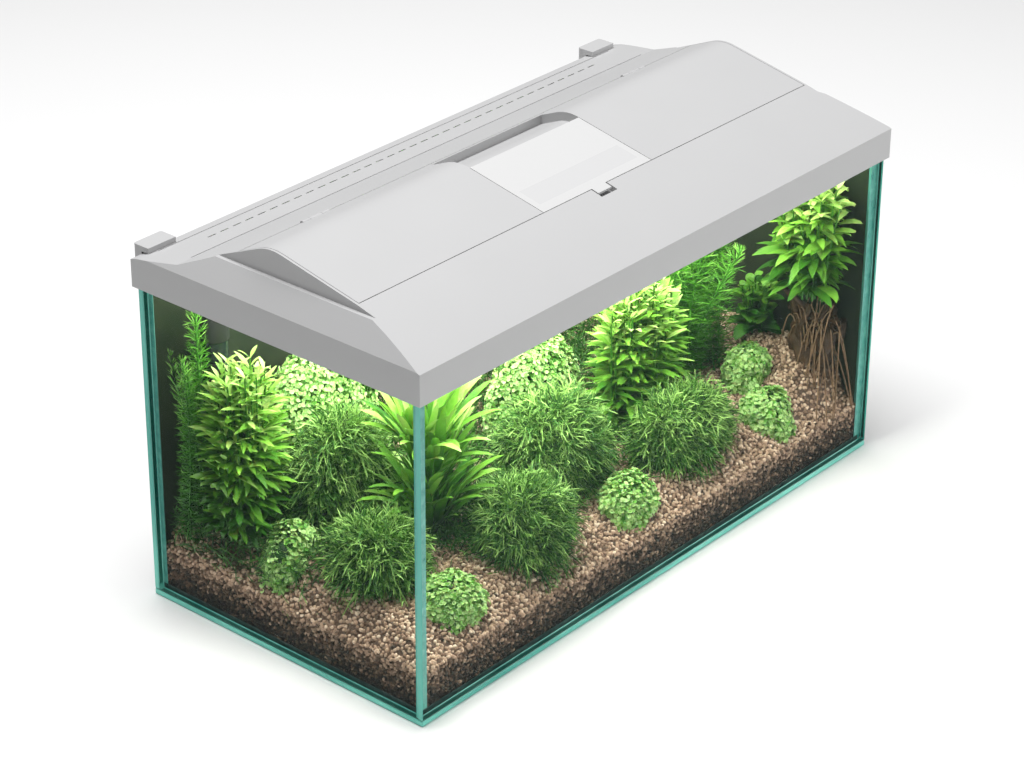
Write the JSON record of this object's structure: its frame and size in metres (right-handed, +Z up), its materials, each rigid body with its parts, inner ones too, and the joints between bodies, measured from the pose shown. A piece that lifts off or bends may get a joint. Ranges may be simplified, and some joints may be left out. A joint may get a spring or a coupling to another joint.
{
  "type": "glass aquarium with hood",
  "caption": "Rectangular glass aquarium with a lift-off moulded hood, hinged roof lid, feeding flap, lamp, filter, heater and a planted gravel bed.",
  "frame": {"origin": "centre of the tank's footprint, on the surface that it stands on", "axes": "+Z up, +X along the tank to the viewer's right, the front pane faces -Y"},
  "size_m": [0.6064, 0.3154, 0.3539],
  "materials": {
    "glass": "clear float glass with ground edges that look sea green",
    "silicone": "translucent silicone",
    "film": "dark printed film",
    "soil": "dark granular soil",
    "gravel": "brown 3 mm gravel",
    "carpet_leaves": "small bright leaves",
    "moss": "fine wiry moss",
    "plant_leaves": "fresh leaves",
    "driftwood": "waterlogged root",
    "hood_plastic": "finely grained light grey moulding",
    "flap_plastic": "satin white moulding",
    "pin_steel": "plain ground rod",
    "lamp_aluminium": "satin anodised",
    "lamp_diffuser": "frosted diffuser",
    "led_board": "white coated board with emitters",
    "black_plastic": "moulded",
    "sponge": "open foam",
    "accent_plastic": "moulded",
    "suction_rubber": "soft moulded",
    "heater_glass": "borosilicate tube"
  },
  "bodies": {
    "tank": {"background_film": "film", "base_pane": "glass", "base_sealant": "silicone", "broad_leaf_plant": "plant_leaves", "carpet_clump_bank": "carpet_leaves", "carpet_clump_corner": "carpet_leaves", "carpet_clump_front": "carpet_leaves", "carpet_clump_left": "carpet_leaves", "carpet_clump_right": "carpet_leaves", "carpet_mound": "carpet_leaves", "carpet_mound_centre": "carpet_leaves", "corner_sealant": "silicone", "driftwood_root": "driftwood", "feathery_stems_left": "plant_leaves", "feathery_stems_rear": "plant_leaves", "feathery_stems_right": "plant_leaves", "filter_canister": "black_plastic", "filter_head": "black_plastic", "filter_sponge": "sponge", "filter_suction_cups": "suction_rubber", "front_pane": "glass", "gravel_bed": "gravel", "heater_brackets": "suction_rubber", "heater_cap": "black_plastic", "heater_element": "black_plastic", "heater_tube": "heater_glass", "lance_leaf_bush": "plant_leaves", "lance_leaf_stand": "plant_leaves", "left_pane": "glass", "moss_mound_centre": "moss", "moss_mound_centre_left": "moss", "moss_mound_front": "moss", "moss_mound_left": "moss", "moss_mound_right": "moss", "rear_pane": "glass", "right_pane": "glass", "round_leaf_plant": "plant_leaves", "strap_leaf_plant": "plant_leaves", "substrate_layer": "soil"},
    "hood": {"hood_frame": "hood_plastic", "lid_hinge_pins": "pin_steel", "cable_duct_left": "hood_plastic", "cable_duct_right": "hood_plastic", "lamp_housing": "lamp_aluminium", "lamp_lens": "lamp_diffuser", "led_board": "led_board", "lamp_caps": "black_plastic", "lamp_holders": "black_plastic"},
    "roof_lid": {"roof_lid": "hood_plastic", "flap_hinge_pin": "pin_steel"},
    "feeding_flap": {"feeding_flap": "flap_plastic"},
    "impeller": {"filter_impeller": "accent_plastic"},
    "nozzle": {"filter_nozzle": "accent_plastic"},
    "heater_dial": {"heater_dial": "accent_plastic"}
  },
  "joints": [
    {"name": "hood_lift", "type": "slide", "parent": "tank", "child": "hood", "axis": [0, 0, 1], "range_m": [0, 0.12]},
    {"name": "lid_hinge", "type": "hinge", "parent": "hood", "child": "roof_lid", "pos_m": [0, 0.0499, 0.3403], "axis": [-1, 0, 0], "range_deg": [0, 100]},
    {"name": "flap_hinge", "type": "hinge", "parent": "roof_lid", "child": "feeding_flap", "pos_m": [0, 0.0039, 0.34955], "axis": [-1, 0, 0], "range_deg": [0, 100]},
    {"name": "impeller_spin", "type": "hinge", "parent": "tank", "child": "impeller", "pos_m": [0.234, 0.114, 0.2], "axis": [0, 0, 1], "continuous": true},
    {"name": "nozzle_turn", "type": "hinge", "parent": "tank", "child": "nozzle", "pos_m": [0.234, 0.0919, 0.2], "axis": [0, -1, 0], "range_deg": [-90, 90]},
    {"name": "heater_dial_turn", "type": "hinge", "parent": "tank", "child": "heater_dial", "pos_m": [-0.248, 0.12, 0.256], "axis": [0, 0, 1], "range_deg": [0, 270]}
  ]
}
